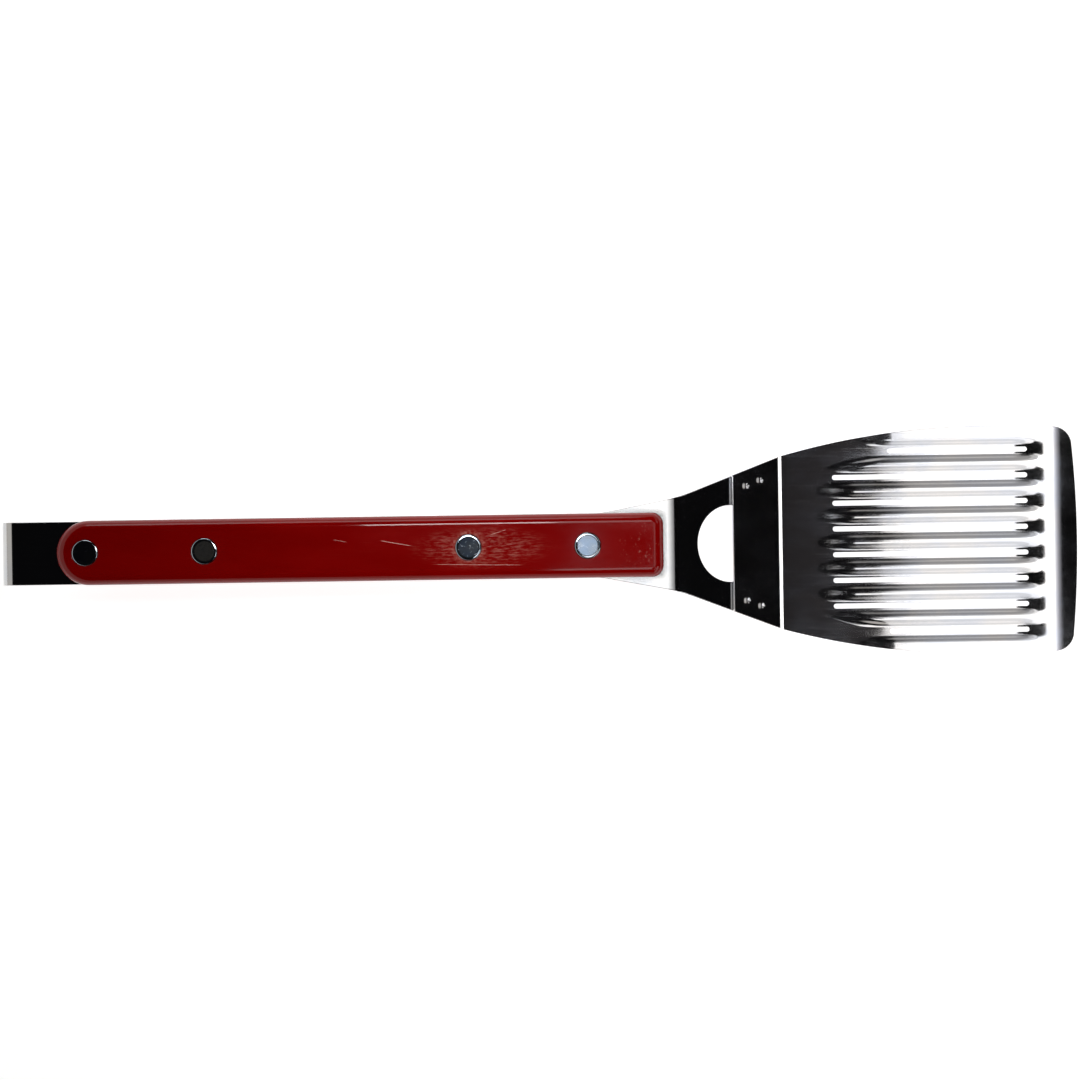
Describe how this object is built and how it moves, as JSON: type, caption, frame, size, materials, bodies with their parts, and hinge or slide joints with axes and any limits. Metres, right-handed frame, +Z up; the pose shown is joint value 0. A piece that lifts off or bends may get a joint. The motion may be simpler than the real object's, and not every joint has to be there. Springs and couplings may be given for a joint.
{
  "type": "grill spatula",
  "caption": "Long grill spatula: a ribbed, slotted steel blade on a sloping neck, red riveted handle scales on a full tang, and a hanging hook at the end.",
  "frame": {"origin": "under the middle of the bounding box, on the plane that the blade and the hook's tip stand on", "axes": "+X from the hanging hook to the blade's front edge, +Y to the left, +Z up, away from the surface it stands on"},
  "size_m": [0.4454, 0.0944, 0.0324],
  "materials": {
    "tang_steel": "mirror-polished stainless steel",
    "blade_steel": "polished stainless steel with fine lengthwise scratches",
    "rivet_steel": "satin-faced steel rivet heads",
    "red_plastic": "glossy deep red, lightly scuffed"
  },
  "bodies": {
    "root": {"tang": "tang_steel", "blade": "blade_steel", "upper_scale": "red_plastic", "lower_scale": "red_plastic", "rivet_1_pin": "rivet_steel", "rivet_1_tube": "rivet_steel", "rivet_2_pin": "rivet_steel", "rivet_2_tube": "rivet_steel", "rivet_3_pin": "rivet_steel", "rivet_3_tube": "rivet_steel", "rivet_4_pin": "rivet_steel", "rivet_4_tube": "rivet_steel", "weld_nugget_1": "blade_steel", "weld_nugget_2": "blade_steel", "weld_nugget_3": "blade_steel", "weld_nugget_4": "blade_steel"}
  },
  "joints": []
}
